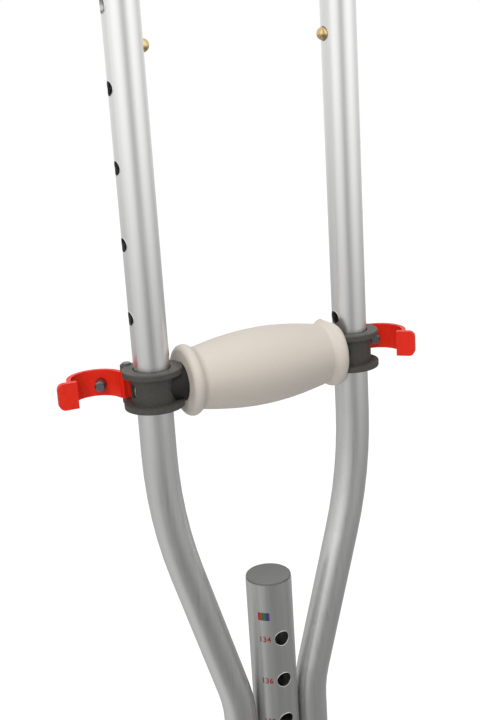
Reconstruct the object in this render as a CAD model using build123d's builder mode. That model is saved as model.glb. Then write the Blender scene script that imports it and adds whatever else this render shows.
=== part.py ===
from build123d import *
from math import atan2, cos, degrees, radians, sin, sqrt, tan
import os

os.makedirs("parts", exist_ok=True)

# Underarm crutch, in millimetres.
# The origin is the centre of the rubber tip's sole, +Z is up,
# +X runs from the left upright to the right one and -Y is the front.

# Leg: one straight tube that carries the rubber tip
leg_radius = 12.5
leg_wall = 1.5
leg_length = 635.0
leg_hole_radius = 4.15
leg_hole_pitch = 25.4
leg_hole_count = 17
leg_first_hole_drop = 32.5
plug_cap_height = 1.2
plug_cap_setback = 0.35
plug_spigot_depth = 14.0
plug_wall = 1.6

# Rubber tip and its washer
tip_sole_radius = 23.0
tip_sole_thickness = 10.0
tip_height = 64.0
tip_neck_radius = 16.4
tip_skirt_height = 11.0
tip_groove_depth = 2.2
tip_groove_width = 2.4
tip_rib_radius = 1.3
tip_rib_pitch = 7.0
tip_rib_count = 3
washer_thickness = 2.0
washer_setback = 0.3

# Uprights: two tubes, straight above the grip and bowed in below it
upright_radius = 9.0
upright_wall = 1.3
upright_spacing = 113.4
grip_above_leg_top = 118.5
upright_rise = 322.0
upper_bend_drop = 70.0
upper_bend_radius = 250.0
lower_bend_radius = 70.0
bow_angle = 16.0
bow_leg_gap = 0.8
grip_hole_pitch = 36.0
grip_hole_count = 8
grip_hole_radius = 3.45
size_hole_rise = 18.0
size_hole_step = 144.0
size_hole_count = 3
bushing_wall = 1.5
bushing_skirt = 13.0
bushing_lip = 3.0
bushing_clearance = 0.1

# Underarm frame: a bent tube that telescopes in the uprights
arm_tube_radius = 7.5
arm_tube_wall = 1.2
arm_tube_end_drop = 13.0
arm_straight_rise = 470.0
arm_flare_radius = 60.0
arm_flare_angle = 18.0
arm_flare_length = 8.0
arm_corner_radius = 28.0
saddle_angle = 8.0
arm_plug_flange = 1.5
arm_plug_depth = 5.0
arm_plug_clearance = 0.1

# Underarm pad
pad_half_length = 97.0
pad_width = 46.0
pad_dip = 13.0
pad_cover = 9.0
pad_under = 6.0
pad_end_height = 37.0
pad_edge_round = 11.0
pad_corner_round = 14.0
pad_clearance = 0.3

# Snap buttons and their springs
button_radius = 3.25
button_clearance = 0.3
button_proud = 3.3
button_stem_radius = 1.3
button_stem_length = 1.4
spring_strip = 0.7
spring_width = 5.0
spring_half_width = 5.35
spring_below = 7.0
spring_above = 30.0

# Grip collars: spools that slide on the uprights
collar_body_radius = 11.0
collar_clearance = 0.5
collar_height = 20.0
flange_reach = 4.0
flange_thickness = 3.0
collar_pin_hole_radius = 3.8
flange_round = 0.6
stub_radius = 7.6
stub_reach = 32.0

# Spring clips that wrap a spool and carry a pin
clip_height = 13.5
clip_gap = 1.4
clip_band = 2.2
clip_shift = 1.08
clip_shift_angle = 291.8
clip_tail_angle = 118.0
clip_lip_angle = 290.0
clip_lip_clearance = 0.3
clip_tab_reach = 5.4
clip_tab_thickness = 3.0
clip_tab_round = 3.2
hinge_offset = 5.0
hinge_angle = 120.2
knuckle_radius = 2.9
knuckle_waist = 0.8
ear_radius = 3.4
hinge_pin_radius = 1.3
hinge_clearance = 0.06
hinge_head_radius = 2.3
hinge_head_height = 0.8
hinge_head_room = 0.3
grip_pin_radius = 2.7
grip_pin_reach = 4.1
pin_bevel = 0.6
pin_head_setback = 0.3
left_clip_open = 114.0
right_clip_open = 66.0

# Hand grip: a moulded sleeve on a core tube between the collars
sleeve_offset = 2.5
sleeve_ring_half_span = 40.9
sleeve_ring_radius = 18.2
sleeve_ring_round = 3.0
sleeve_neck_radius = 15.9
sleeve_neck_half_span = 35.5
sleeve_belly_radius = 20.0
sleeve_neck_slope = 0.21
sleeve_clearance = 0.3
core_radius = 9.6
core_clearance = 0.05
core_half_length = 38.0
grip_screw_radius = 1.3
grip_screw_head_radius = 2.4
grip_screw_length = 7.0
grip_screw_inset = 6.0

# Brackets that tie the bows together and guide the leg
bracket_wall = 2.6
bracket_height = 26.0
bracket_drop = 239.0
bracket_parting = 1.0
bracket_round = 1.5
bracket_waist = 5.0
leg_clearance = 0.4
bow_clearance = 0.05
web_slot_width = 3.2
web_slot_depth = 10.0
bolt_radius = 2.5
bolt_clearance = 0.2
bolt_head_radius = 4.6
bolt_head_height = 2.8
bolt_socket_radius = 2.2
bolt_socket_depth = 1.6
bolt_boss_radius = 6.4
bolt_boss_depth = 3.2
nut_radius = 4.6
nut_height = 2.8
nut_dome_radius = 3.7
nut_dome_height = 2.0
nut_clearance = 0.05

# Leg lock: a larger spool and clip below the bow ends
lock_hole_number = 13
lock_body_wall = 2.5
lock_pin_radius = 3.3
lock_pin_reach = 8.0
lock_pin_hole_radius = 4.4
lock_clip_open = 90.0
socket_depth = 40.0
socket_floor = 4.0
socket_bolt_rise = 18.0

# Heights that follow from the sizes above
leg_base = tip_sole_thickness + washer_thickness
leg_top = leg_base + leg_length
grip_z = leg_top + grip_above_leg_top
half_spacing = upright_spacing / 2
bow_x = leg_radius + bow_leg_gap + upright_radius
upright_top = grip_z + upright_rise
upright_bore = upright_radius - upright_wall
arm_tube_bore = arm_tube_radius - arm_tube_wall
button_z = grip_z + size_hole_rise + size_hole_step
arm_tube_end = button_z - arm_tube_end_drop
leg_first_hole_z = leg_top - leg_first_hole_drop
lock_z = leg_first_hole_z - lock_hole_number * leg_hole_pitch
bow_end_z = lock_z + collar_height / 2 + socket_floor
lock_body_radius = leg_radius + leg_clearance + lock_body_wall
leg_bore = leg_radius - leg_wall


def side_plane(x, y, z):
    """A plane whose normal is +X and whose local axes are Y and Z."""
    return Plane(origin=(x, y, z), x_dir=(0, 1, 0), z_dir=(1, 0, 0))


def front_plane(x, y, z):
    """A plane whose normal is -Y and whose local axes are X and Z."""
    return Plane(origin=(x, y, z), x_dir=(1, 0, 0), z_dir=(0, -1, 0))


def save(shape, name):
    """Label a finished piece and write it to its own file."""
    shape.label = name
    export_step(shape, "parts/" + name + ".step")


# Leg tube, with a row of lock holes down its front
with BuildPart() as leg_tube:
    with BuildSketch(Plane.XY.offset(leg_base)):
        Circle(leg_radius)
        Circle(leg_bore, mode=Mode.SUBTRACT)
    extrude(amount=leg_length)
    with BuildSketch(front_plane(0, 0, leg_first_hole_z)):
        with Locations([(0, -i * leg_hole_pitch) for i in range(leg_hole_count)]):
            Circle(leg_hole_radius)
    extrude(amount=leg_radius + 1, mode=Mode.SUBTRACT)
save(leg_tube.part, "leg_tube")

# Leg plug, a cap pressed into the tube's upper end
with BuildPart() as leg_plug:
    with BuildSketch(Plane.XY.offset(leg_top)):
        Circle(leg_radius - plug_cap_setback)
    extrude(amount=plug_cap_height)
    chamfer(leg_plug.faces().sort_by(Axis.Z)[-1].edges(), plug_cap_height / 3)
    with BuildSketch(Plane.XY.offset(leg_top - plug_spigot_depth)):
        Circle(leg_bore)
        Circle(leg_bore - plug_wall, mode=Mode.SUBTRACT)
    extrude(amount=plug_spigot_depth)
save(leg_plug.part, "leg_plug")

# Washer that keeps the tube from cutting through the rubber
with BuildPart() as tip_washer:
    with BuildSketch(Plane.XY.offset(tip_sole_thickness)):
        Circle(leg_radius - washer_setback)
    extrude(amount=washer_thickness)
save(tip_washer.part, "tip_washer")

# Rubber tip: a flared, grooved sole under a ribbed sleeve
with BuildPart() as rubber_tip:
    with BuildSketch(Plane.XZ):
        with BuildLine():
            sole = Line((0, 0), (tip_sole_radius - 1.5, 0))
            toe = JernArc(sole @ 1, (1, 0), 1.5, 90)
            rim = Line(toe @ 1, (tip_sole_radius, tip_skirt_height - 3))
            shoulder = JernArc(rim @ 1, (0, 1), 3, 75)
            neck = Spline(
                shoulder @ 1,
                (tip_neck_radius + 0.5, tip_height * 0.45),
                (tip_neck_radius, tip_height - 4),
                tangents=[shoulder % 1, (0, 1)],
            )
            collar = Line(neck @ 1, (tip_neck_radius, tip_height))
            Polyline(collar @ 1, (0, tip_height), (0, 0))
        make_face()
    revolve(axis=Axis.Z)
    with BuildSketch(Plane.XZ):
        with Locations([(0, tip_height - 4 - i * tip_rib_pitch) for i in range(tip_rib_count)]):
            with Locations((tip_neck_radius, 0)):
                Circle(tip_rib_radius)
    revolve(axis=Axis.Z)
    with BuildSketch(Plane.XY.offset(tip_sole_thickness)):
        Circle(leg_radius)
    extrude(amount=tip_height, mode=Mode.SUBTRACT)
    with BuildSketch(Plane.XY):
        for radius in (tip_sole_radius * 0.4, tip_sole_radius * 0.65, tip_sole_radius * 0.87):
            Circle(radius)
            Circle(radius - tip_groove_width, mode=Mode.SUBTRACT)
    extrude(amount=tip_groove_depth, mode=Mode.SUBTRACT)
save(rubber_tip.part, "rubber_tip")

# Right upright: parallel to the leg, out along the bow, then straight up.
# Lock holes for the grip pins face outwards and size holes face inwards.
bow_rise = (half_spacing - bow_x) / tan(radians(bow_angle))
lower_bend_z = grip_z - upper_bend_drop - bow_rise
lower_tangent = lower_bend_radius * tan(radians(bow_angle / 2))
upper_tangent = upper_bend_radius * tan(radians(bow_angle / 2))
bow_length = (half_spacing - bow_x) / sin(radians(bow_angle)) - lower_tangent - upper_tangent
grip_hole_heights = [i * grip_hole_pitch for i in range(grip_hole_count)]
size_hole_heights = [size_hole_rise + i * size_hole_step for i in range(size_hole_count)]
bracket_z = grip_z - bracket_drop
socket_bolt_z = bow_end_z + socket_bolt_rise
with BuildPart() as upright_right:
    with BuildLine(Plane.XZ) as upright_path:
        tail = Line((bow_x, bow_end_z), (bow_x, lower_bend_z - lower_tangent))
        lower_bend = JernArc(tail @ 1, tail % 1, lower_bend_radius, -bow_angle)
        bow = PolarLine(lower_bend @ 1, bow_length, direction=lower_bend % 1)
        upper_bend = JernArc(bow @ 1, bow % 1, upper_bend_radius, bow_angle)
        Line(upper_bend @ 1, (half_spacing, upright_top))
    with BuildSketch(Plane.XY.offset(bow_end_z)):
        with Locations((bow_x, 0)):
            Circle(upright_radius)
            Circle(upright_bore, mode=Mode.SUBTRACT)
    sweep(path=upright_path.wire())
    with BuildSketch(side_plane(half_spacing, 0, grip_z)):
        with Locations([(0, height) for height in grip_hole_heights]):
            Circle(grip_hole_radius)
    extrude(amount=upright_radius + 1, mode=Mode.SUBTRACT)
    with BuildSketch(side_plane(half_spacing, 0, grip_z)):
        with Locations([(0, height) for height in size_hole_heights]):
            Circle(button_radius + button_clearance)
    extrude(amount=-upright_radius - 1, mode=Mode.SUBTRACT)
    with BuildSketch(front_plane(bow_x, 0, 0)):
        with Locations((0, bracket_z), (0, socket_bolt_z)):
            Circle(bolt_radius + bolt_clearance)
    extrude(amount=upright_radius + 1, both=True, mode=Mode.SUBTRACT)
save(upright_right.part, "upright_right")

with BuildPart() as upright_left:
    mirror(upright_right.part, about=Plane.YZ)
save(upright_left.part, "upright_left")

# Bushings that cap the uprights and steady the underarm frame
with BuildPart() as bushing_right:
    with BuildSketch(Plane.XY.offset(upright_top - bushing_skirt)):
        with Locations((half_spacing, 0)):
            Circle(upright_radius + bushing_wall)
    extrude(amount=bushing_skirt + bushing_lip)
    fillet(bushing_right.faces().sort_by(Axis.Z)[-1].edges(), bushing_wall * 0.8)
    with BuildSketch(Plane.XY.offset(upright_top - bushing_skirt)):
        with Locations((half_spacing, 0)):
            Circle(upright_radius)
    extrude(amount=bushing_skirt, mode=Mode.SUBTRACT)
    with BuildSketch(Plane.XY.offset(upright_top)):
        with Locations((half_spacing, 0)):
            Circle(arm_tube_radius + bushing_clearance)
    extrude(amount=bushing_lip, mode=Mode.SUBTRACT)
save(bushing_right.part, "upright_bushing_right")

with BuildPart() as bushing_left:
    mirror(bushing_right.part, about=Plane.YZ)
save(bushing_left.part, "upright_bushing_left")

# Underarm frame: both legs flare, turn in and meet in a shallow saddle
arm_straight_top = grip_z + arm_straight_rise
flare = radians(arm_flare_angle)
dip = radians(saddle_angle)
flare_x = arm_flare_radius * (1 - cos(flare)) + arm_flare_length * sin(flare)
flare_z = arm_flare_radius * sin(flare) + arm_flare_length * cos(flare)
corner_x = half_spacing + flare_x - arm_corner_radius * cos(flare)
corner_z = arm_straight_top + flare_z + arm_corner_radius * sin(flare)
saddle_radius = (corner_x - arm_corner_radius * sin(dip)) / sin(dip)
saddle_low_z = corner_z + arm_corner_radius * cos(dip) - saddle_radius * (1 - cos(dip))
corner_turn = 90 + arm_flare_angle + saddle_angle
with BuildPart() as arm_frame:
    with BuildLine(Plane.XZ) as arm_path:
        rise = Line((half_spacing, arm_tube_end), (half_spacing, arm_straight_top))
        flare_out = JernArc(rise @ 1, rise % 1, arm_flare_radius, -arm_flare_angle)
        flare_run = PolarLine(flare_out @ 1, arm_flare_length, direction=flare_out % 1)
        corner = JernArc(flare_run @ 1, flare_run % 1, arm_corner_radius, corner_turn)
        saddle = JernArc(corner @ 1, corner % 1, saddle_radius, -2 * saddle_angle)
        far_corner = JernArc(saddle @ 1, saddle % 1, arm_corner_radius, corner_turn)
        far_run = PolarLine(far_corner @ 1, arm_flare_length, direction=far_corner % 1)
        flare_in = JernArc(far_run @ 1, far_run % 1, arm_flare_radius, -arm_flare_angle)
        Line(flare_in @ 1, (-half_spacing, arm_tube_end))
    with BuildSketch(Plane.XY.offset(arm_tube_end)):
        with Locations((half_spacing, 0)):
            Circle(arm_tube_radius)
            Circle(arm_tube_bore, mode=Mode.SUBTRACT)
    sweep(path=arm_path.wire())
    for side in (-1, 1):
        with BuildSketch(side_plane(side * half_spacing, 0, button_z)):
            Circle(button_radius + button_clearance)
        extrude(amount=-side * (arm_tube_radius + 1), mode=Mode.SUBTRACT)
save(arm_frame.part, "underarm_frame")

# Plugs in the lower ends of the underarm frame
with BuildPart() as arm_plug_right:
    with BuildSketch(Plane.XY.offset(arm_tube_end - arm_plug_flange)):
        with Locations((half_spacing, 0)):
            Circle(arm_tube_radius - arm_plug_clearance)
    extrude(amount=arm_plug_flange)
    with BuildSketch(Plane.XY.offset(arm_tube_end)):
        with Locations((half_spacing, 0)):
            Circle(arm_tube_bore)
    extrude(amount=arm_plug_depth)
save(arm_plug_right.part, "underarm_frame_plug_right")

with BuildPart() as arm_plug_left:
    mirror(arm_plug_right.part, about=Plane.YZ)
save(arm_plug_left.part, "underarm_frame_plug_left")

# Underarm pad: a dished cushion moulded round the top of the frame
pad_top_z = saddle_low_z + arm_tube_radius + pad_cover
pad_low_z = saddle_low_z - arm_tube_radius - pad_under
pad_end_x = pad_half_length - pad_end_height / 2
pad_end_z = pad_top_z + pad_dip - pad_end_height
with BuildPart() as underarm_pad:
    with BuildSketch(front_plane(0, 0, 0)) as pad_outline:
        with BuildLine():
            brim_z = pad_top_z + pad_dip
            middle_z = pad_end_z + pad_end_height / 2
            dish = ThreePointArc((-pad_end_x, brim_z), (0, pad_top_z), (pad_end_x, brim_z))
            end = ThreePointArc(dish @ 1, (pad_half_length, middle_z), (pad_end_x, pad_end_z))
            belly = ThreePointArc(end @ 1, (0, pad_low_z), (-pad_end_x, pad_end_z))
            ThreePointArc(belly @ 1, (-pad_half_length, middle_z), dish @ 0)
        make_face()
        fillet(pad_outline.vertices(), pad_corner_round)
    extrude(amount=pad_width / 2, both=True)
    sides = underarm_pad.faces().sort_by(Axis.Y)
    fillet(sides[0].edges() + sides[-1].edges(), pad_edge_round)
    with BuildSketch(Plane.XY.offset(arm_tube_end)):
        with Locations((half_spacing, 0)):
            Circle(arm_tube_radius + pad_clearance)
    sweep(path=arm_path.wire(), mode=Mode.SUBTRACT)
save(underarm_pad.part, "underarm_pad")

# Snap button: a domed pin that holds the underarm frame at its height
button_tip_x = half_spacing - upright_radius - button_proud
button_back_x = half_spacing - spring_half_width
with BuildPart() as button_right:
    with BuildSketch(front_plane(0, 0, button_z)):
        with BuildLine():
            dome = RadiusArc(
                (button_tip_x, 0), (button_tip_x + button_radius, button_radius), button_radius
            )
            Polyline(dome @ 1, (button_back_x, button_radius), (button_back_x, 0), dome @ 0)
        make_face()
        with BuildLine():
            Polyline(
                (button_back_x, 0),
                (button_back_x, button_stem_radius),
                (button_back_x + button_stem_length, button_stem_radius),
                (button_back_x + button_stem_length, 0),
                close=True,
            )
        make_face()
    revolve(axis=Axis((0, 0, button_z), (1, 0, 0)))
save(button_right.part, "snap_button_right")

with BuildPart() as button_left:
    mirror(button_right.part, about=Plane.YZ)
save(button_left.part, "snap_button_left")

# Button spring: a bent strip in the frame tube, open at the bottom
with BuildPart() as spring_right:
    with BuildSketch(front_plane(half_spacing, 0, button_z)):
        with Locations((0, spring_above)):
            Circle(spring_half_width)
        with Locations((0, (spring_above - spring_below) / 2)):
            Rectangle(2 * spring_half_width, spring_above + spring_below)
        with Locations((0, spring_above)):
            Circle(spring_half_width - spring_strip, mode=Mode.SUBTRACT)
        with Locations((0, (spring_above - spring_below) / 2)):
            Rectangle(
                2 * (spring_half_width - spring_strip),
                spring_above + spring_below,
                mode=Mode.SUBTRACT,
            )
    extrude(amount=spring_width / 2, both=True)
    with BuildSketch(side_plane(half_spacing, 0, button_z)):
        Circle(button_stem_radius)
    extrude(amount=-spring_half_width, mode=Mode.SUBTRACT)
save(spring_right.part, "button_spring_right")

with BuildPart() as spring_left:
    mirror(spring_right.part, about=Plane.YZ)
save(spring_left.part, "button_spring_left")


def hinge_point(body_radius):
    """Where a clip's hinge stands, seen from the axis of its spool."""
    reach = body_radius + hinge_offset
    return (reach * cos(radians(hinge_angle)), reach * sin(radians(hinge_angle)))


def make_spool(body_radius, bore_radius, pin_hole_radius):
    """A flanged sleeve on the Z axis, with hinge ears and a pin hole towards -X."""
    hinge_x, hinge_y = hinge_point(body_radius)
    hinge_reach = body_radius + hinge_offset
    with BuildPart() as spool:
        with BuildSketch(Plane.XY.offset(-collar_height / 2)):
            Circle(body_radius)
        extrude(amount=collar_height)
        for level in (-collar_height / 2, collar_height / 2 - flange_thickness):
            with BuildSketch(Plane.XY.offset(level)):
                Circle(body_radius + flange_reach)
                with Locations((hinge_x, hinge_y)):
                    Circle(ear_radius)
                with PolarLocations(hinge_reach / 2, 1, start_angle=hinge_angle):
                    Rectangle(hinge_reach, 2 * ear_radius)
            extrude(amount=flange_thickness)
        ends = spool.faces().sort_by(Axis.Z)
        fillet(ends[0].edges() + ends[-1].edges(), flange_round)
        with BuildSketch(Plane.XY.offset(-collar_height / 2)):
            Circle(bore_radius)
            with Locations((hinge_x, hinge_y)):
                Circle(hinge_pin_radius)
        extrude(amount=collar_height, mode=Mode.SUBTRACT)
        with BuildSketch(side_plane(0, 0, 0)):
            Circle(pin_hole_radius)
        extrude(amount=-body_radius - 1, mode=Mode.SUBTRACT)
    return spool.part


def make_clip(body_radius, pin_radius):
    """A closed clip drawn about its hinge: band, knuckle, tab and a bore for its pin."""
    hinge_x, hinge_y = hinge_point(body_radius)
    shift = radians(clip_shift_angle)
    centre = Vector(clip_shift * cos(shift) - hinge_x, clip_shift * sin(shift) - hinge_y)
    inner = body_radius + clip_gap
    outer = inner + clip_band
    lip = body_radius + clip_lip_clearance - clip_shift
    tab = outer + clip_tab_reach
    band_turn = clip_lip_angle - clip_tail_angle
    neck = centre.length - (inner + outer) / 2
    lip_turn = radians(clip_lip_angle)
    outward = Vector(cos(lip_turn), sin(lip_turn))
    onward = Vector(-sin(lip_turn), cos(lip_turn))
    with BuildPart() as clip:
        with BuildSketch(Plane.XY.offset(-clip_height / 2)):
            with BuildLine():
                outside = CenterArc(centre, outer, clip_tail_angle, band_turn)
                inside = CenterArc(centre, inner, clip_tail_angle, band_turn)
                Line(outside @ 0, inside @ 0)
                Line(outside @ 1, inside @ 1)
            make_face()
            Circle(knuckle_radius)
            with PolarLocations(neck / 2, 1, start_angle=degrees(atan2(centre.Y, centre.X))):
                Rectangle(neck, 2 * knuckle_radius - knuckle_waist)
            Circle(hinge_pin_radius + hinge_clearance, mode=Mode.SUBTRACT)
        extrude(amount=clip_height)
        tab_centre = centre + outward * ((lip + tab) / 2)
        with BuildSketch(Plane(origin=tab_centre, x_dir=outward, z_dir=onward)) as tab_face:
            Rectangle(tab - lip, clip_height)
            fillet(tab_face.vertices().sort_by(Axis.X)[-2:], clip_tab_round)
        extrude(amount=clip_tab_thickness)
        with BuildSketch(side_plane(0, -hinge_y, 0)):
            Circle(pin_radius)
        extrude(amount=-2 * body_radius - hinge_x, mode=Mode.SUBTRACT)
    return clip.part


def make_clip_pin(body_radius, pin_radius, pin_reach):
    """The pin of a closed clip, drawn about the same hinge as the clip."""
    hinge_x, hinge_y = hinge_point(body_radius)
    shift = radians(clip_shift_angle)
    outer = body_radius + clip_gap + clip_band
    rise = clip_shift * sin(shift)
    root = clip_shift * cos(shift) - sqrt(outer**2 - rise**2) - hinge_x + pin_head_setback
    with BuildPart() as pin:
        with BuildSketch(side_plane(root, -hinge_y, 0)):
            Circle(pin_radius)
        extrude(amount=-hinge_x - pin_reach - root)
        chamfer(pin.faces().sort_by(Axis.X)[-1].edges(), pin_bevel)
    return pin.part


def make_hinge_pin():
    """A headed pin through both ears of a spool, drawn on the Z axis."""
    with BuildPart() as pin:
        with BuildSketch(Plane.XY.offset(-collar_height / 2)):
            Circle(hinge_pin_radius)
        extrude(amount=collar_height)
        for level in (-collar_height / 2 - hinge_head_height, collar_height / 2):
            with BuildSketch(Plane.XY.offset(level)):
                Circle(hinge_head_radius)
            extrude(amount=hinge_head_height)
        ends = pin.faces().sort_by(Axis.Z)
        fillet(ends[0].edges() + ends[-1].edges(), hinge_head_height / 2)
    return pin.part


# Collars: a spool on each upright, with a stub that plugs into the grip
collar_spool = make_spool(collar_body_radius, upright_radius + collar_clearance, collar_pin_hole_radius)
with BuildPart() as collar_left:
    with Locations((-half_spacing, 0, grip_z)):
        add(collar_spool)
    with BuildSketch(side_plane(-half_spacing, 0, grip_z)):
        Circle(stub_radius)
    extrude(amount=stub_reach)
    with BuildSketch(Plane.XY.offset(grip_z - collar_height / 2)):
        with Locations((-half_spacing, 0)):
            Circle(upright_radius + collar_clearance)
    extrude(amount=collar_height, mode=Mode.SUBTRACT)
    screw_x = -core_half_length + grip_screw_inset
    with Locations(Location((screw_x, 0, grip_z - stub_radius), (180, 0, 0))):
        Hole(grip_screw_radius, depth=grip_screw_length)
save(collar_left.part, "collar_left")

with BuildPart() as collar_right:
    mirror(collar_left.part, about=Plane.YZ)
save(collar_right.part, "collar_right")

# Clips: closed they wrap the collars, and here they stand open
clip_shape = make_clip(collar_body_radius, grip_pin_radius)
clip_pin_shape = make_clip_pin(collar_body_radius, grip_pin_radius, grip_pin_reach)
hinge_pin_shape = make_hinge_pin()
hinge_x, hinge_y = hinge_point(collar_body_radius)
left_hinge = (-half_spacing + hinge_x, hinge_y, grip_z)
right_hinge = (half_spacing - hinge_x, hinge_y, grip_z)

with BuildPart() as clip_left:
    with Locations(Location(left_hinge, (0, 0, -left_clip_open))):
        add(clip_shape)
save(clip_left.part, "clip_left")

with BuildPart() as clip_pin_left:
    with Locations(Location(left_hinge, (0, 0, -left_clip_open))):
        add(clip_pin_shape)
save(clip_pin_left.part, "clip_pin_left")

with BuildPart() as hinge_pin_left:
    with Locations(left_hinge):
        add(hinge_pin_shape)
save(hinge_pin_left.part, "hinge_pin_left")

with BuildPart() as clip_right:
    with Locations(Location(right_hinge, (0, 0, right_clip_open))):
        add(clip_shape.mirror(Plane.YZ))
save(clip_right.part, "clip_right")

with BuildPart() as clip_pin_right:
    with Locations(Location(right_hinge, (0, 0, right_clip_open))):
        add(clip_pin_shape.mirror(Plane.YZ))
save(clip_pin_right.part, "clip_pin_right")

with BuildPart() as hinge_pin_right:
    with Locations(right_hinge):
        add(hinge_pin_shape)
save(hinge_pin_right.part, "hinge_pin_right")

# Core tube of the grip, over the stubs of both collars
with BuildPart() as grip_core:
    with BuildSketch(side_plane(-core_half_length, 0, grip_z)):
        Circle(core_radius)
        Circle(stub_radius + core_clearance, mode=Mode.SUBTRACT)
    extrude(amount=2 * core_half_length)
    for side in (-1, 1):
        with Locations(Location((side * screw_x, 0, grip_z - core_radius), (180, 0, 0))):
            CounterSinkHole(
                grip_screw_radius,
                grip_screw_head_radius,
                depth=core_radius,
                counter_sink_angle=90,
            )
save(grip_core.part, "grip_core_tube")

# Countersunk screws that hold the core tube on the stubs
with BuildPart() as grip_screws:
    sink = grip_screw_head_radius - grip_screw_radius
    with BuildSketch(front_plane(0, 0, grip_z)):
        with BuildLine():
            Polyline(
                (screw_x, -core_radius),
                (screw_x + grip_screw_head_radius, -core_radius),
                (screw_x + grip_screw_radius, sink - core_radius),
                (screw_x + grip_screw_radius, grip_screw_length - stub_radius),
                (screw_x, grip_screw_length - stub_radius),
                close=True,
            )
        make_face()
    revolve(axis=Axis((screw_x, 0, grip_z), (0, 0, 1)))
    mirror(about=Plane.YZ)
save(grip_screws.part, "grip_screws")

# Adapters: black hubs between each collar and the core tube
with BuildPart() as adapter_left:
    with BuildSketch(side_plane(-half_spacing, 0, grip_z)):
        Circle(core_radius)
        Circle(stub_radius + core_clearance, mode=Mode.SUBTRACT)
    extrude(amount=half_spacing - core_half_length)
    with BuildSketch(Plane.XY.offset(grip_z - collar_height / 2)):
        with Locations((-half_spacing, 0)):
            Circle(collar_body_radius + core_clearance)
    extrude(amount=collar_height, mode=Mode.SUBTRACT)
    for level in (-collar_height / 2, collar_height / 2 - flange_thickness - core_clearance):
        with BuildSketch(Plane.XY.offset(grip_z + level)):
            with Locations((-half_spacing, 0)):
                Circle(collar_body_radius + flange_reach + core_clearance)
        extrude(amount=flange_thickness + core_clearance, mode=Mode.SUBTRACT)
save(adapter_left.part, "grip_adapter_left")

with BuildPart() as adapter_right:
    mirror(adapter_left.part, about=Plane.YZ)
save(adapter_right.part, "grip_adapter_right")

# Grip sleeve: a barrel with a rounded ring at each end
with BuildPart() as grip_sleeve:
    with BuildSketch(front_plane(sleeve_offset, 0, grip_z)):
        with BuildLine():
            belly = Spline(
                (-sleeve_neck_half_span, sleeve_neck_radius),
                (0, sleeve_belly_radius),
                (sleeve_neck_half_span, sleeve_neck_radius),
                tangents=[(1, sleeve_neck_slope), (1, -sleeve_neck_slope)],
            )
            ring_low = (sleeve_ring_half_span + sleeve_ring_round, sleeve_ring_radius - sleeve_ring_round)
            ring_top = (sleeve_ring_half_span, sleeve_ring_radius)
            right_rise = Spline(belly @ 1, ring_top, tangents=[(1, 0), (1, 0)])
            right_ring = RadiusArc(ring_top, ring_low, sleeve_ring_round)
            left_rise = Spline(belly @ 0, (-ring_top[0], ring_top[1]), tangents=[(-1, 0), (-1, 0)])
            left_ring = RadiusArc(left_rise @ 1, (-ring_low[0], ring_low[1]), -sleeve_ring_round)
            Polyline(
                right_ring @ 1,
                (ring_low[0], core_radius + sleeve_clearance),
                (-ring_low[0], core_radius + sleeve_clearance),
                left_ring @ 1,
            )
        make_face()
    revolve(axis=Axis((0, 0, grip_z), (1, 0, 0)))
    with BuildSketch(Plane.XY.offset(grip_z - sleeve_ring_radius)):
        with Locations((-half_spacing, 0), (half_spacing, 0)):
            Circle(collar_body_radius + flange_reach + sleeve_clearance)
    extrude(amount=2 * sleeve_ring_radius, mode=Mode.SUBTRACT)
save(grip_sleeve.part, "grip_sleeve")


def bracket_outline(wall):
    """The three lobes round both bows and the leg, joined by a waist."""
    with Locations((-bow_x, 0), (bow_x, 0)):
        Circle(upright_radius + wall)
    Circle(leg_radius + leg_clearance + wall)
    Rectangle(2 * bow_x, 2 * (upright_radius + wall) - bracket_waist)


def bracket_bores():
    """The bores for both bows and the leg, with slots that open the thin webs."""
    with Locations((-bow_x, 0), (bow_x, 0)):
        Circle(upright_radius + bow_clearance, mode=Mode.SUBTRACT)
    Circle(leg_radius + leg_clearance, mode=Mode.SUBTRACT)
    web_x = bow_x - upright_radius - bow_leg_gap / 2
    with Locations((-web_x, 0), (web_x, 0)):
        Rectangle(web_slot_width, web_slot_depth, mode=Mode.SUBTRACT)


# Upper bracket: two shells bolted through the bows
bracket_bottom = bracket_z - bracket_height / 2
bolt_face_y = upright_radius + bracket_wall + bolt_boss_depth
for side, name in ((-1, "upper_bracket_front"), (1, "upper_bracket_back")):
    with BuildPart() as bracket_shell:
        with BuildSketch(Plane.XY.offset(bracket_bottom)):
            bracket_outline(bracket_wall)
        extrude(amount=bracket_height)
        ends = bracket_shell.faces().sort_by(Axis.Z)
        fillet(ends[0].edges() + ends[-1].edges(), bracket_round)
        with BuildSketch(front_plane(0, 0, bracket_z)):
            with Locations((-bow_x, 0), (bow_x, 0)):
                Circle(bolt_boss_radius)
        extrude(amount=-side * bolt_face_y)
        with BuildSketch(Plane.XY.offset(bracket_bottom)):
            Rectangle(3 * bow_x, 3 * bow_x)
            bracket_bores()
        extrude(amount=bracket_height, mode=Mode.INTERSECT)
        with BuildSketch(front_plane(0, 0, bracket_z)):
            with Locations((-bow_x, 0), (bow_x, 0)):
                Circle(bolt_radius + bolt_clearance)
        extrude(amount=bolt_face_y, both=True, mode=Mode.SUBTRACT)
        kept = Keep.BOTTOM if side > 0 else Keep.TOP
        split(bisect_by=Plane.XZ.offset(-side * bracket_parting / 2), keep=kept)
    save(bracket_shell.part, name)

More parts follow.
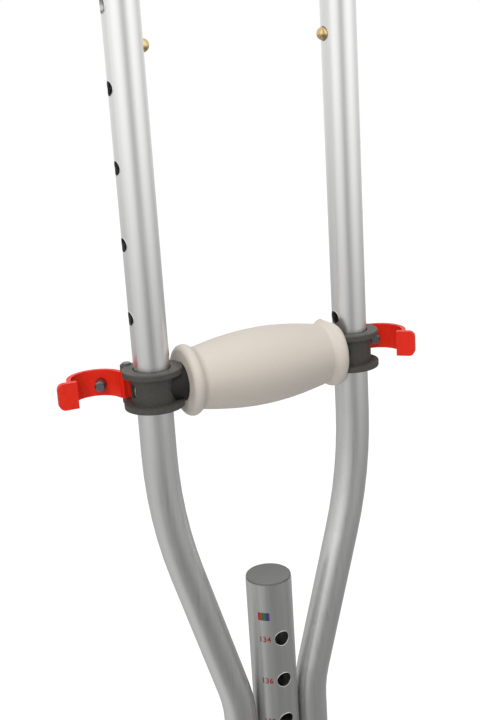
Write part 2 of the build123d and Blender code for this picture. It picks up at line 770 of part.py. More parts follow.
# Lower bracket: sockets for the bow ends above the spool of the leg lock
socket_bottom = bow_end_z - socket_floor
socket_top = bow_end_z + socket_depth
lock_spool = make_spool(lock_body_radius, leg_radius + leg_clearance, lock_pin_hole_radius)
lock_x, lock_y = hinge_point(lock_body_radius)
lock_hinge = (-lock_y, lock_x, lock_z)
with BuildPart() as lower_bracket:
    with BuildSketch(Plane.XY.offset(socket_bottom)):
        bracket_outline(bracket_wall)
    extrude(amount=socket_top - socket_bottom)
    ends = lower_bracket.faces().sort_by(Axis.Z)
    fillet(ends[0].edges() + ends[-1].edges(), bracket_round)
    with BuildSketch(front_plane(0, 0, socket_bolt_z)):
        with Locations((-bow_x, 0), (bow_x, 0)):
            Circle(bolt_boss_radius)
    extrude(amount=bolt_face_y, both=True)
    with BuildSketch(Plane.XY.offset(bow_end_z)):
        with Locations((-bow_x, 0), (bow_x, 0)):
            Circle(upright_radius + bow_clearance)
        web_x = bow_x - upright_radius - bow_leg_gap / 2
        with Locations((-web_x, 0), (web_x, 0)):
            Rectangle(web_slot_width, web_slot_depth)
    extrude(amount=socket_depth, mode=Mode.SUBTRACT)
    with Locations(Location((0, 0, lock_z), (0, 0, 90))):
        add(lock_spool)
    with BuildSketch(Plane.XY.offset(lock_z - collar_height / 2)):
        Circle(leg_radius + leg_clearance)
    extrude(amount=socket_top - lock_z + collar_height / 2, mode=Mode.SUBTRACT)
    with BuildSketch(Plane.XY.offset(socket_bottom)):
        with Locations((-lock_y, lock_x)):
            Circle(hinge_head_radius + hinge_head_room)
    extrude(amount=hinge_head_height + hinge_head_room, mode=Mode.SUBTRACT)
    with BuildSketch(front_plane(0, 0, socket_bolt_z)):
        with Locations((-bow_x, 0), (bow_x, 0)):
            Circle(bolt_radius + bolt_clearance)
    extrude(amount=bolt_face_y, both=True, mode=Mode.SUBTRACT)
save(lower_bracket.part, "lower_bracket")

# Leg lock clip, its pin and its hinge pin
with BuildPart() as leg_clip:
    with Locations(Location(lock_hinge, (0, 0, 90 - lock_clip_open))):
        add(make_clip(lock_body_radius, lock_pin_radius))
save(leg_clip.part, "leg_clip")

with BuildPart() as leg_clip_pin:
    with Locations(Location(lock_hinge, (0, 0, 90 - lock_clip_open))):
        add(make_clip_pin(lock_body_radius, lock_pin_radius, lock_pin_reach))
save(leg_clip_pin.part, "leg_clip_pin")

with BuildPart() as leg_hinge_pin:
    with Locations(lock_hinge):
        add(hinge_pin_shape)
save(leg_hinge_pin.part, "leg_hinge_pin")

# Bolts and domed nuts through both brackets and the bows
bolt_places = [(x, z) for z in (bracket_z, socket_bolt_z) for x in (-bow_x, bow_x)]
with BuildPart() as bracket_bolts:
    with BuildSketch(front_plane(0, -bolt_face_y, 0)):
        with Locations(bolt_places):
            Circle(bolt_head_radius)
    extrude(amount=bolt_head_height)
    fillet(bracket_bolts.faces().sort_by(Axis.Y)[:len(bolt_places)].edges(), bolt_head_height / 3)
    with BuildSketch(front_plane(0, -bolt_face_y - bolt_head_height, 0)):
        with Locations(bolt_places):
            RegularPolygon(bolt_socket_radius, 6)
    extrude(amount=-bolt_socket_depth, mode=Mode.SUBTRACT)
    with BuildSketch(front_plane(0, -bolt_face_y, 0)):
        with Locations(bolt_places):
            Circle(bolt_radius)
    extrude(amount=-2 * bolt_face_y - nut_height)
save(bracket_bolts.part, "bracket_bolts")

with BuildPart() as bracket_nuts:
    with BuildSketch(front_plane(0, bolt_face_y, 0)):
        with Locations(bolt_places):
            RegularPolygon(nut_radius, 6)
    extrude(amount=-nut_height)
    with BuildSketch(front_plane(0, bolt_face_y + nut_height, 0)):
        with Locations(bolt_places):
            Circle(nut_dome_radius)
    extrude(amount=-nut_dome_height)
    fillet(bracket_nuts.faces().sort_by(Axis.Y)[-len(bolt_places):].edges(), nut_dome_height * 0.8)
    with BuildSketch(front_plane(0, bolt_face_y, 0)):
        with Locations(bolt_places):
            Circle(bolt_radius + nut_clearance)
    extrude(amount=-nut_height, mode=Mode.SUBTRACT)
save(bracket_nuts.part, "bracket_nuts")
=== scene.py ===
import bmesh
import bpy
from math import cos, pi, radians, sin
from mathutils import Matrix, Vector


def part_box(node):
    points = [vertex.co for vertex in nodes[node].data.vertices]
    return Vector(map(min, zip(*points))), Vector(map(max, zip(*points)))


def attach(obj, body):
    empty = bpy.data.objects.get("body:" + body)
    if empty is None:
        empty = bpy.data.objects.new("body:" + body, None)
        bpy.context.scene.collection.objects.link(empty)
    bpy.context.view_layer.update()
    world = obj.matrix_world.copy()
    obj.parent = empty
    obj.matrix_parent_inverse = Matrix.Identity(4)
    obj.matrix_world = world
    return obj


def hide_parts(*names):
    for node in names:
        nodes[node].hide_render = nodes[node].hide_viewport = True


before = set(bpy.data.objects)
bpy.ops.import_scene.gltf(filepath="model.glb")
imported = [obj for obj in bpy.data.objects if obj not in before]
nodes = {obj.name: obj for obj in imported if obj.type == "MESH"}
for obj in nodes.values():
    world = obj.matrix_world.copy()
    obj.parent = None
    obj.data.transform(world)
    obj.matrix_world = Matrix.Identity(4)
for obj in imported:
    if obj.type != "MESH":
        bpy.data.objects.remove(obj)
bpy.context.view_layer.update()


# Leg tube: a drawn aluminium tube, blasted and clear anodised.
# Its finish keeps fine lines along the length, left by the drawing die.
def new_finish(name, **sockets):
    """A material with one Principled shader, its plain values on the shader's own sockets."""
    finish = bpy.data.materials.new(name)
    finish.use_nodes = True
    shader = finish.node_tree.nodes["Principled BSDF"]
    for socket, value in sockets.items():
        shader.inputs[socket.replace("_", " ")].default_value = value
    return finish


def add_grain(finish, scale, stretch, bump_height, bump_strength, dark, light, rough_low, rough_high):
    """Noise on Object coordinates that varies a finish's colour, roughness and surface."""
    tree, links = finish.node_tree.nodes, finish.node_tree.links
    shader = tree["Principled BSDF"]
    place = tree.new("ShaderNodeTexCoord")
    mapping = tree.new("ShaderNodeMapping")
    mapping.inputs["Scale"].default_value = stretch
    noise = tree.new("ShaderNodeTexNoise")
    noise.inputs["Scale"].default_value = scale
    noise.inputs["Detail"].default_value = 4.0
    links.new(place.outputs["Object"], mapping.inputs["Vector"])
    links.new(mapping.outputs["Vector"], noise.inputs["Vector"])
    tint = tree.new("ShaderNodeMix")
    tint.data_type = "RGBA"
    tint.inputs["A"].default_value = (*dark, 1)
    tint.inputs["B"].default_value = (*light, 1)
    links.new(noise.outputs["Fac"], tint.inputs["Factor"])
    links.new(tint.outputs["Result"], shader.inputs["Base Color"])
    rough = tree.new("ShaderNodeMapRange")
    rough.inputs["From Min"].default_value = 0.3
    rough.inputs["From Max"].default_value = 0.7
    rough.inputs["To Min"].default_value = rough_low
    rough.inputs["To Max"].default_value = rough_high
    links.new(noise.outputs["Fac"], rough.inputs["Value"])
    links.new(rough.outputs["Result"], shader.inputs["Roughness"])
    bump = tree.new("ShaderNodeBump")
    bump.inputs["Strength"].default_value = bump_strength
    bump.inputs["Distance"].default_value = bump_height
    links.new(noise.outputs["Fac"], bump.inputs["Height"])
    links.new(bump.outputs["Normal"], shader.inputs["Normal"])


def dress(finish, *names):
    """Gives CAD nodes their finish."""
    for name in names:
        for place in nodes[name].material_slots:
            place.material = finish


def anodised(name, dark, light):
    finish = new_finish(name, Metallic=1.0)
    add_grain(
        finish, scale=900, stretch=(1, 1, 0.02), bump_height=0.00004, bump_strength=0.25,
        dark=dark, light=light, rough_low=0.27, rough_high=0.36,
    )
    return finish


leg_finish = anodised("anodised leg tube", (0.60, 0.60, 0.59), (0.66, 0.66, 0.65))
dress(leg_finish, "leg_tube")

# Lock holes of the leg: seventeen, punched and deburred one inch apart.
# The deburring leaves a thin bright rim round each, which follows the tube.
leg_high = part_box("leg_tube")[1]
leg_radius = leg_high.x
hole_pitch = 0.0254
first_hole_drop = 0.0325
first_hole_z = leg_high.z - first_hole_drop
leg_hole_count = 17


def rim_tree():
    """Geometry Nodes: a column of thin rims, each bent to a round tube."""
    tree = bpy.data.node_groups.new("hole rims", "GeometryNodeTree")
    face = tree.interface
    face.new_socket("Geometry", in_out="OUTPUT", socket_type="NodeSocketGeometry")
    for name in ("Tube Radius", "Hole Radius", "Rim Radius", "Pitch", "First Height", "Facing", "Centre X"):
        face.new_socket(name, in_out="INPUT", socket_type="NodeSocketFloat")
    face.new_socket("Count", in_out="INPUT", socket_type="NodeSocketInt")
    face.new_socket("Finish", in_out="INPUT", socket_type="NodeSocketMaterial")
    add, link = tree.nodes.new, tree.links.new
    given, made = add("NodeGroupInput"), add("NodeGroupOutput")
    size = given.outputs

    def compute(operation, *values):
        step = add("ShaderNodeMath")
        step.operation = operation
        for i, value in enumerate(values):
            if isinstance(value, (int, float)):
                step.inputs[i].default_value = value
            else:
                link(value, step.inputs[i])
        return step.outputs[0]

    circle = add("GeometryNodeCurvePrimitiveCircle")
    circle.inputs["Resolution"].default_value = 40
    link(size["Hole Radius"], circle.inputs["Radius"])
    at = add("GeometryNodeInputPosition")
    parts, bent = add("ShaderNodeSeparateXYZ"), add("ShaderNodeCombineXYZ")
    link(at.outputs[0], parts.inputs[0])
    across = compute("MULTIPLY", parts.outputs["X"], parts.outputs["X"])
    squared = compute("MULTIPLY", size["Tube Radius"], size["Tube Radius"])
    depth = compute("SQRT", compute("SUBTRACT", squared, across))
    link(parts.outputs["X"], bent.inputs["X"])
    link(compute("MULTIPLY", depth, -1.0), bent.inputs["Y"])
    link(parts.outputs["Y"], bent.inputs["Z"])
    shaped = add("GeometryNodeSetPosition")
    link(circle.outputs["Curve"], shaped.inputs["Geometry"])
    link(bent.outputs[0], shaped.inputs["Position"])
    section = add("GeometryNodeCurvePrimitiveCircle")
    section.inputs["Resolution"].default_value = 8
    link(size["Rim Radius"], section.inputs["Radius"])
    swept = add("GeometryNodeCurveToMesh")
    link(shaped.outputs[0], swept.inputs["Curve"])
    link(section.outputs["Curve"], swept.inputs["Profile Curve"])
    start, step_down = add("ShaderNodeCombineXYZ"), add("ShaderNodeCombineXYZ")
    link(size["First Height"], start.inputs["Z"])
    link(size["Pitch"], step_down.inputs["Z"])
    column = add("GeometryNodeMeshLine")
    link(size["Count"], column.inputs["Count"])
    link(start.outputs[0], column.inputs["Start Location"])
    link(step_down.outputs[0], column.inputs["Offset"])
    spread = add("GeometryNodeInstanceOnPoints")
    link(column.outputs["Mesh"], spread.inputs["Points"])
    link(swept.outputs["Mesh"], spread.inputs["Instance"])
    turn, side = add("ShaderNodeCombineXYZ"), add("ShaderNodeCombineXYZ")
    link(size["Facing"], turn.inputs["Z"])
    link(size["Centre X"], side.inputs["X"])
    placed = add("GeometryNodeTransform")
    link(spread.outputs["Instances"], placed.inputs["Geometry"])
    link(turn.outputs[0], placed.inputs["Rotation"])
    link(side.outputs[0], placed.inputs["Translation"])
    real, painted = add("GeometryNodeRealizeInstances"), add("GeometryNodeSetMaterial")
    link(placed.outputs["Geometry"], real.inputs["Geometry"])
    link(real.outputs["Geometry"], painted.inputs["Geometry"])
    link(size["Finish"], painted.inputs["Material"])
    link(painted.outputs["Geometry"], made.inputs["Geometry"])
    return tree


def grown(name, tree, sizes):
    """Runs a Geometry Nodes tree once and keeps its result as a plain mesh."""
    seed = bpy.data.objects.new(name, bpy.data.meshes.new(name))
    bpy.context.scene.collection.objects.link(seed)
    modifier = seed.modifiers.new("make", "NODES")
    modifier.node_group = tree
    for socket in tree.interface.items_tree:
        if socket.item_type == "SOCKET" and socket.name in sizes:
            modifier[socket.identifier] = sizes[socket.name]
    bpy.context.view_layer.update()
    result = seed.evaluated_get(bpy.context.evaluated_depsgraph_get())
    mesh = bpy.data.meshes.new_from_object(result)
    seed.modifiers.clear()
    seed.data = mesh
    return seed


rims = rim_tree()
rim_finish = new_finish("deburred rim", Metallic=1.0, Roughness=0.3, Base_Color=(0.8, 0.8, 0.79, 1))
add_grain(
    rim_finish, scale=2000, stretch=(1, 1, 1), bump_height=0.00002, bump_strength=0.2,
    dark=(0.72, 0.72, 0.71), light=(0.85, 0.85, 0.84), rough_low=0.22, rough_high=0.34,
)
leg_rims = grown("leg_hole_rims", rims, {
    "Tube Radius": leg_radius, "Hole Radius": 0.00425, "Rim Radius": 0.00019,
    "Pitch": -hole_pitch, "First Height": first_hole_z, "Facing": 0.0, "Centre X": 0.0,
    "Count": leg_hole_count, "Finish": rim_finish,
})
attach(leg_rims, "leg")

# Height scale of the leg: red numerals printed beside the holes, in centimetres,
# and three small colour fields above them, all in a thin baked ink.
scale_turn = radians(-44.4)
ink_height = 0.00006


def wrapped(name, mesh, finish, height):
    """Lays a flat mesh, drawn in X and Z, on the front of the leg at the scale's turn."""
    for vertex in mesh.vertices:
        turn = scale_turn + vertex.co.x / leg_radius
        reach = leg_radius + ink_height
        vertex.co = Vector((reach * sin(turn), -reach * cos(turn), vertex.co.z + height))
    mesh.materials.clear()
    mesh.materials.append(finish)
    piece = bpy.data.objects.new(name, mesh)
    bpy.context.scene.collection.objects.link(piece)
    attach(piece, "leg")
    return piece


def ink(name, dark, light):
    finish = new_finish(name)
    add_grain(
        finish, scale=2500, stretch=(1, 1, 1), bump_height=0.00001, bump_strength=0.2,
        dark=dark, light=light, rough_low=0.4, rough_high=0.55,
    )
    return finish


numeral_size = 0.0044
numeral_weight = 0.00009
shortest_height = 134
height_step = 2.54
red_ink = ink("red ink", (0.26, 0.012, 0.012), (0.36, 0.02, 0.018))
for i in range(leg_hole_count):
    writing = bpy.data.curves.new("numeral", "FONT")
    writing.body = str(int(shortest_height + height_step * i))
    writing.size = numeral_size
    writing.offset = numeral_weight
    writing.align_x = "CENTER"
    writing.align_y = "CENTER"
    writing.space_character = 1.05
    numeral = bpy.data.objects.new("numeral", writing)
    flat = bpy.data.meshes.new_from_object(numeral)
    bpy.data.objects.remove(numeral)
    for vertex in flat.vertices:
        vertex.co = Vector((vertex.co.x, 0, vertex.co.y))
    wrapped(f"leg_numeral_{i + 1:02d}", flat, red_ink, first_hole_z - i * hole_pitch)

field_width = 0.0022
field_height = 0.0046
field_rise = 0.0139
field_strips = 3
fields = (
    ("red", (0.30, 0.02, 0.016), (0.38, 0.03, 0.024)),
    ("green", (0.015, 0.11, 0.03), (0.025, 0.15, 0.045)),
    ("violet", (0.05, 0.018, 0.13), (0.07, 0.025, 0.17)),
)
for i, (colour, dark, light) in enumerate(fields):
    patch = bmesh.new()
    left = (i - 1.5) * field_width
    for step in range(field_strips + 1):
        x = left + step * field_width / field_strips
        patch.verts.new((x, 0, -field_height / 2))
        patch.verts.new((x, 0, field_height / 2))
    patch.verts.ensure_lookup_table()
    corner = patch.verts
    for step in range(field_strips):
        patch.faces.new((corner[2 * step], corner[2 * step + 2], corner[2 * step + 3], corner[2 * step + 1]))
    flat = bpy.data.meshes.new("field")
    patch.to_mesh(flat)
    patch.free()
    wrapped("leg_field_" + colour, flat, ink(colour + " field ink", dark, light), first_hole_z + field_rise)

# Leg plug: a cap of grey polyethylene pressed into the top of the leg.
# It is moulded with a fine spark-eroded texture.
plug_finish = new_finish("grey plug plastic")
add_grain(
    plug_finish, scale=2200, stretch=(1, 1, 1), bump_height=0.00006, bump_strength=0.35,
    dark=(0.15, 0.15, 0.14), light=(0.19, 0.19, 0.18), rough_low=0.5, rough_high=0.62,
)
dress(plug_finish, "leg_plug")

# Rubber tip: a ferrule of dark grey rubber, moulded in one with its ribs and sole rings.
# It is pushed over the leg's end, where a zinc-plated washer backs the sole.
rubber = new_finish("tip rubber", Specular_IOR_Level=0.35)
add_grain(
    rubber, scale=700, stretch=(1, 1, 1), bump_height=0.00012, bump_strength=0.4,
    dark=(0.030, 0.030, 0.031), light=(0.055, 0.054, 0.053), rough_low=0.7, rough_high=0.88,
)
dress(rubber, "rubber_tip")
zinc = new_finish("zinc plate", Metallic=1.0)
add_grain(
    zinc, scale=1500, stretch=(1, 1, 1), bump_height=0.00004, bump_strength=0.3,
    dark=(0.26, 0.29, 0.34), light=(0.42, 0.45, 0.50), rough_low=0.28, rough_high=0.44,
)
dress(zinc, "tip_washer")

# Uprights: two aluminium tubes bent cold on a mandrel, blasted and clear anodised.
# Lock holes face outwards and size holes face inwards, each with a deburred rim.
frame_finish = anodised("anodised frame tube", (0.70, 0.70, 0.69), (0.77, 0.77, 0.76))
dress(frame_finish, "upright_left", "upright_right")
grip_low, grip_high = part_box("collar_left")
grip_z = (grip_low.z + grip_high.z) / 2
upright_radius = 0.009
spacing_half = 0.0567
grip_hole_pitch = 0.036
size_hole_pitch = 0.144
size_hole_rise = 0.018
grip_hole_count = 8
size_hole_count = 3
for side, name in ((-1, "left"), (1, "right")):
    outer = grown(f"upright_{name}_outer_rims", rims, {
        "Tube Radius": upright_radius, "Hole Radius": 0.00352, "Rim Radius": 0.00018,
        "Pitch": grip_hole_pitch, "First Height": grip_z, "Facing": side * pi / 2,
        "Centre X": side * spacing_half, "Count": grip_hole_count, "Finish": rim_finish,
    })
    inner = grown(f"upright_{name}_inner_rims", rims, {
        "Tube Radius": upright_radius, "Hole Radius": 0.00362, "Rim Radius": 0.00018,
        "Pitch": size_hole_pitch, "First Height": grip_z + size_hole_rise, "Facing": -side * pi / 2,
        "Centre X": side * spacing_half, "Count": size_hole_count, "Finish": rim_finish,
    })
    for piece in (outer, inner):
        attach(piece, "frame")

# Bushings: thin black nylon caps, pressed over the uprights' tops.
# They steady the underarm frame, whose own ends carry plugs of the same nylon.
nylon = new_finish("black nylon", Specular_IOR_Level=0.3)
add_grain(
    nylon, scale=1800, stretch=(1, 1, 1), bump_height=0.00008, bump_strength=0.45,
    dark=(0.012, 0.011, 0.010), light=(0.026, 0.025, 0.023), rough_low=0.42, rough_high=0.6,
)
dress(nylon, "upright_bushing_left", "upright_bushing_right")
dress(nylon, "underarm_frame_plug_left", "underarm_frame_plug_right")

# Underarm frame: one bent tube of the same aluminium that telescopes in the uprights.
# Brass snap buttons on bent steel strips hold it at its height.
dress(frame_finish, "underarm_frame")
brass = new_finish("snap button brass", Metallic=1.0)
add_grain(
    brass, scale=1500, stretch=(1, 1, 1), bump_height=0.00002, bump_strength=0.25,
    dark=(0.60, 0.42, 0.19), light=(0.72, 0.54, 0.28), rough_low=0.16, rough_high=0.27,
)
dress(brass, "snap_button_left", "snap_button_right")
spring_steel = new_finish("spring steel", Metallic=1.0)
add_grain(
    spring_steel, scale=1500, stretch=(1, 1, 0.1), bump_height=0.00002, bump_strength=0.3,
    dark=(0.42, 0.42, 0.42), light=(0.55, 0.55, 0.55), rough_low=0.25, rough_high=0.38,
)
dress(spring_steel, "button_spring_left", "button_spring_right")

# Underarm pad: soft foam rubber moulded round the top of the frame.
# Its skin is the grip's beige, and the foam behind it crowns it slightly.
pad_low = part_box("underarm_pad")[0]
pad_voxel = 0.003
pad_slack = 0.0016
swell_cap = 0.0022
tube_room = 0.0095
tube_rise = 0.02
last_frame = 20


def hugs_tube(point):
    """Whether a point is on the pad's underside, where the foam grips the frame's tube."""
    return abs(point.y) < tube_room and point.z < pad_low.z + tube_rise


def beige_vinyl(name, dark, light):
    finish = new_finish(name, Specular_IOR_Level=0.4, Sheen_Weight=0.15, Sheen_Roughness=0.5)
    add_grain(
        finish, scale=1400, stretch=(1, 1, 1), bump_height=0.00008, bump_strength=0.35,
        dark=dark, light=light, rough_low=0.5, rough_high=0.64,
    )
    return finish


pad_finish = beige_vinyl("underarm pad skin", (0.56, 0.50, 0.43), (0.62, 0.565, 0.49))
pad_mesh = nodes["underarm_pad"].data.copy()
joined = bmesh.new()
joined.from_mesh(pad_mesh)
bmesh.ops.remove_doubles(joined, verts=joined.verts, dist=0.00001)
joined.to_mesh(pad_mesh)
joined.free()
pad_mesh.materials.clear()
pad_mesh.materials.append(pad_finish)
pad = bpy.data.objects.new("underarm_pad_foam", pad_mesh)
bpy.context.scene.collection.objects.link(pad)
skin = pad.modifiers.new("skin", "REMESH")
skin.mode = "VOXEL"
skin.voxel_size = pad_voxel
bpy.context.view_layer.update()
pad.data = bpy.data.meshes.new_from_object(pad.evaluated_get(bpy.context.evaluated_depsgraph_get()))
pad.modifiers.clear()
start_shape = []
for vertex in pad.data.vertices:
    if not hugs_tube(vertex.co):
        vertex.co = vertex.co - vertex.normal * pad_slack
    start_shape.append(vertex.co.copy())
cloth = pad.modifiers.new("foam", "CLOTH")
cloth.settings.quality = 5
cloth.settings.use_pressure = True
cloth.settings.uniform_pressure_force = 4.0
cloth.settings.effector_weights.gravity = 0.0
for number in range(1, last_frame + 1):
    bpy.context.scene.frame_set(number)
swollen = bpy.data.meshes.new_from_object(pad.evaluated_get(bpy.context.evaluated_depsgraph_get()))
pad.modifiers.clear()
bpy.context.scene.frame_set(1)
for vertex, old, new in zip(pad.data.vertices, start_shape, swollen.vertices):
    move = new.co - old
    if move.length > swell_cap:
        move = move * (swell_cap / move.length)
    if hugs_tube(old):
        move = Vector((0, 0, 0))
    vertex.co = old + move
for polygon in pad.data.polygons:
    polygon.use_smooth = True
smooth = pad.modifiers.new("smooth", "SUBSURF")
smooth.levels = smooth.render_levels = 1
bpy.context.view_layer.update()
pad.data = bpy.data.meshes.new_from_object(pad.evaluated_get(bpy.context.evaluated_depsgraph_get()))
pad.modifiers.clear()
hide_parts("underarm_pad")
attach(pad, "frame")

# Hand grip: a thick vinyl sleeve with a rounded ring at each end, slush moulded.
# It sits on a black nylon core tube, held by two small countersunk screws.
grip_finish = beige_vinyl("grip vinyl", (0.60, 0.545, 0.475), (0.66, 0.605, 0.535))
dress(grip_finish, "grip_sleeve")
dress(nylon, "grip_core_tube", "grip_adapter_left", "grip_adapter_right")
dress(zinc, "grip_screws")

# Collars: spools of dark grey glass-filled nylon that slide on the uprights.
# They are moulded in two halves, and handling has rubbed their faces a little.
collar_nylon = new_finish("dark grey nylon", Specular_IOR_Level=0.4)
add_grain(
    collar_nylon, scale=900, stretch=(1, 1, 1), bump_height=0.0001, bump_strength=0.4,
    dark=(0.046, 0.043, 0.036), light=(0.088, 0.083, 0.072), rough_low=0.42, rough_high=0.6,
)
dress(collar_nylon, "collar_left", "collar_right")
dress(collar_nylon, "upper_bracket_front", "upper_bracket_back", "lower_bracket")

# Spring clips: tough red acetal, moulded glossy, turning on dark steel hinge pins.
# A blunt steel pin through each band locks the collar to one hole of the upright.
red_acetal = new_finish("red acetal", Specular_IOR_Level=0.16)
add_grain(
    red_acetal, scale=1200, stretch=(1, 1, 1), bump_height=0.00003, bump_strength=0.3,
    dark=(0.80, 0.022, 0.008), light=(0.90, 0.032, 0.012), rough_low=0.32, rough_high=0.44,
)
dress(red_acetal, "clip_left", "clip_right", "leg_clip")
dark_steel = new_finish("dark pin steel", Metallic=1.0)
add_grain(
    dark_steel, scale=1500, stretch=(1, 1, 1), bump_height=0.00004, bump_strength=0.35,
    dark=(0.13, 0.13, 0.14), light=(0.24, 0.24, 0.26), rough_low=0.3, rough_high=0.46,
)
dress(dark_steel, "clip_pin_left", "clip_pin_right", "leg_clip_pin")
dress(dark_steel, "hinge_pin_left", "hinge_pin_right", "leg_hinge_pin")
dress(zinc, "bracket_bolts", "bracket_nuts")

# Camera: where the photograph was taken from, a little to the left and above the grip.
turn, tilt, roll = radians(25.146), radians(16.107), radians(-3.688)
ahead = Vector((sin(turn) * cos(tilt), cos(turn) * cos(tilt), -sin(tilt)))
level_right = Vector((cos(turn), -sin(turn), 0))
level_up = level_right.cross(ahead)
right = cos(roll) * level_right + sin(roll) * level_up
upward = cos(roll) * level_up - sin(roll) * level_right
camera = bpy.data.objects.new("camera", bpy.data.cameras.new("camera"))
camera.data.sensor_width = 36.0
camera.data.lens = 55.943
stand = Matrix.Translation((-0.24144, -0.49599, grip_z + 0.16318))
camera.matrix_world = stand @ Matrix((right, upward, -ahead)).transposed().to_4x4()
bpy.context.scene.collection.objects.link(camera)
bpy.context.scene.camera = camera

# Floor: a plain pale sheet that the crutch's tip stands on.
# It shows as white to the lens and in reflections, and keeps the shadow.
floor_mesh = bpy.data.meshes.new("floor")
reach = 8.0
floor_mesh.from_pydata(
    [(-reach, -reach, 0), (reach, -reach, 0), (reach, reach, 0), (-reach, reach, 0)], [], [(0, 1, 2, 3)]
)
floor = bpy.data.objects.new("floor", floor_mesh)
bpy.context.scene.collection.objects.link(floor)


def seen_directly(tree):
    """1 on rays from the lens, from gloss and through glass, and 0 on the others."""
    path = tree.nodes.new("ShaderNodeLightPath")
    total = path.outputs["Is Camera Ray"]
    for name in ("Is Glossy Ray", "Is Transmission Ray"):
        joint = tree.nodes.new("ShaderNodeMath")
        joint.operation = "MAXIMUM"
        tree.links.new(total, joint.inputs[0])
        tree.links.new(path.outputs[name], joint.inputs[1])
        total = joint.outputs[0]
    return total


paper = bpy.data.materials.new("white paper")
paper.use_nodes = True
paper_nodes, paper_links = paper.node_tree.nodes, paper.node_tree.links
sheet = paper_nodes["Principled BSDF"]
sheet.inputs["Base Color"].default_value = (0.9, 0.9, 0.9, 1)
sheet.inputs["Roughness"].default_value = 0.9
sheet.inputs["Specular IOR Level"].default_value = 0.0
glow = paper_nodes.new("ShaderNodeEmission")
glow.inputs["Strength"].default_value = 1.2
share = paper_nodes.new("ShaderNodeMath")
share.operation = "MULTIPLY"
share.inputs[1].default_value = 0.85
mix = paper_nodes.new("ShaderNodeMixShader")
paper_links.new(seen_directly(paper.node_tree), share.inputs[0])
paper_links.new(share.outputs[0], mix.inputs["Fac"])
paper_links.new(sheet.outputs[0], mix.inputs[1])
paper_links.new(glow.outputs[0], mix.inputs[2])
paper_links.new(mix.outputs[0], paper_nodes["Material Output"].inputs["Surface"])
floor_mesh.materials.append(paper)

# Room: an even white surround, plus two broad lamps for soft shade on the grip.
world = bpy.data.worlds.new("room")
world.use_nodes = True
bpy.context.scene.world = world
room = world.node_tree
background = room.nodes["Background"]
background.inputs["Color"].default_value = (1, 1, 1, 1)
level = room.nodes.new("ShaderNodeMapRange")
level.inputs["To Min"].default_value = 0.21
level.inputs["To Max"].default_value = 1.0
room.links.new(seen_directly(room), level.inputs["Value"])
room.links.new(level.outputs["Result"], background.inputs["Strength"])


def lamp(name, place, aim, width, power):
    light = bpy.data.lights.new(name, "AREA")
    light.shape = "SQUARE"
    light.size = width
    light.energy = power
    holder = bpy.data.objects.new(name, light)
    holder.location = place
    holder.rotation_euler = (Vector(aim) - Vector(place)).to_track_quat("-Z", "Y").to_euler()
    holder.visible_glossy = False
    bpy.context.scene.collection.objects.link(holder)


lamp("top lamp", (-0.3, -0.5, 2.9), (0, 0, 0.8), 1.4, 38)
lamp("front lamp", (-1.5, -1.9, 1.8), (0, 0, 0.8), 1.2, 24)

# Light tent: what the bright metal mirrors, seen only in reflections.
# Its walls are bright above, with a dim slot where the camera stands, and lit from one side below.
tent_radius = 1.3
tent_half_height = 0.744
tent_lift = 0.002
high_strength = 1.55
tent_mesh = bpy.data.meshes.new("tent")
dome = bmesh.new()
bmesh.ops.create_uvsphere(dome, u_segments=64, v_segments=32, radius=1.0)
dome.to_mesh(tent_mesh)
dome.free()
tent = bpy.data.objects.new("tent", tent_mesh)
tent.scale = (tent_radius, tent_radius, tent_half_height)
tent.location = (0, 0, tent_half_height + tent_lift)
bpy.context.scene.collection.objects.link(tent)
tent.visible_camera = False
tent.visible_diffuse = False
tent.visible_shadow = False
tent.visible_transmission = False
tent.visible_volume_scatter = False
cloth_finish = bpy.data.materials.new("tent cloth")
cloth_finish.use_nodes = True
tent_nodes, tent_links = cloth_finish.node_tree.nodes, cloth_finish.node_tree.links
tent_nodes.clear()
spot = tent_nodes.new("ShaderNodeTexCoord")
parts = tent_nodes.new("ShaderNodeSeparateXYZ")
tent_links.new(spot.outputs["Object"], parts.inputs[0])


def tent_math(operation, first, second=0.0):
    step = tent_nodes.new("ShaderNodeMath")
    step.operation = operation
    for i, value in enumerate((first, second)):
        if isinstance(value, float):
            step.inputs[i].default_value = value
        else:
            tent_links.new(value, step.inputs[i])
    return step.outputs[0]


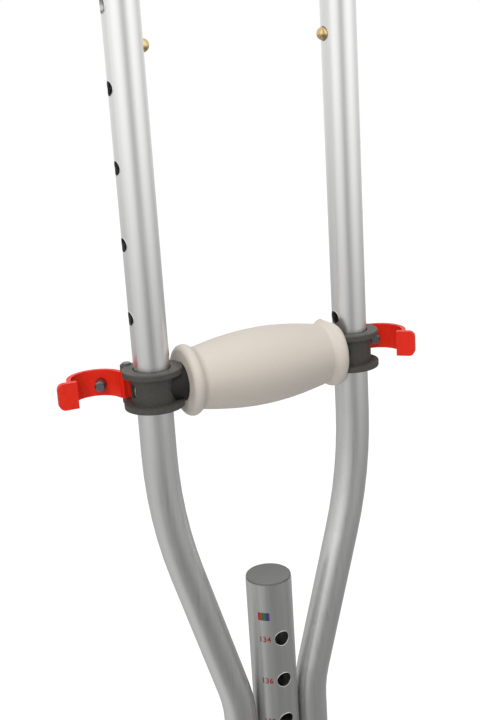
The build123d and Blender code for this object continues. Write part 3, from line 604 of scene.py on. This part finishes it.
def shade_ramp(place, stops, span):
    """A smooth run of greys over a span of values that is centred on 0."""
    node = tent_nodes.new("ShaderNodeValToRGB")
    tent_links.new(tent_math("ADD", tent_math("DIVIDE", place, span), 0.5), node.inputs["Fac"])
    ramp = node.color_ramp
    ramp.interpolation = "B_SPLINE"
    while len(ramp.elements) < len(stops):
        ramp.elements.new(0.5)
    for element, (value, shade) in zip(ramp.elements, stops):
        element.position = value / span + 0.5
        element.color = (shade, shade, shade, 1)
    return node.outputs["Color"]


bearing = tent_math("ARCTAN2", parts.outputs["X"], tent_math("MULTIPLY", parts.outputs["Y"], -1.0))
bearing = tent_math("DIVIDE", bearing, pi / 180)
high_walls = shade_ramp(bearing, (
    (-180, 0.70), (-118, 0.57), (-88, 0.82), (-62, 1.0), (-40, 0.92), (-22, 0.50), (-12, 0.38),
    (0, 0.50), (18, 0.96), (42, 1.0), (62, 0.80), (90, 0.54), (130, 0.66), (180, 0.70),
), 360.0)
low_walls = shade_ramp(bearing, (
    (-180, 0.44), (-140, 0.60), (-95, 0.64), (-72, 0.56), (-52, 0.30), (0, 0.24), (60, 0.25),
    (100, 0.34), (140, 0.40), (180, 0.44),
), 360.0)
brightness = shade_ramp(parts.outputs["Z"], (
    (-1.0, 0.40), (-0.5, 0.42), (-0.26, 0.53), (0.01, 0.93), (0.25, 1.0), (1.0, 1.0),
), 2.0)
share_high = shade_ramp(parts.outputs["Z"], ((-1.0, 0.0), (-0.72, 0.0), (-0.25, 1.0), (1.0, 1.0)), 2.0)
high_light = tent_math("MULTIPLY", tent_math("MULTIPLY", high_walls, brightness), high_strength)
high_part = tent_math("MULTIPLY", high_light, share_high)
low_part = tent_math("MULTIPLY", low_walls, tent_math("SUBTRACT", 1.0, share_high))
glow = tent_nodes.new("ShaderNodeEmission")
tent_links.new(tent_math("ADD", high_part, low_part), glow.inputs["Strength"])
outlet = tent_nodes.new("ShaderNodeOutputMaterial")
tent_links.new(glow.outputs[0], outlet.inputs["Surface"])
tent_mesh.materials.append(cloth_finish)

bpy.context.scene.view_settings.view_transform = "Standard"
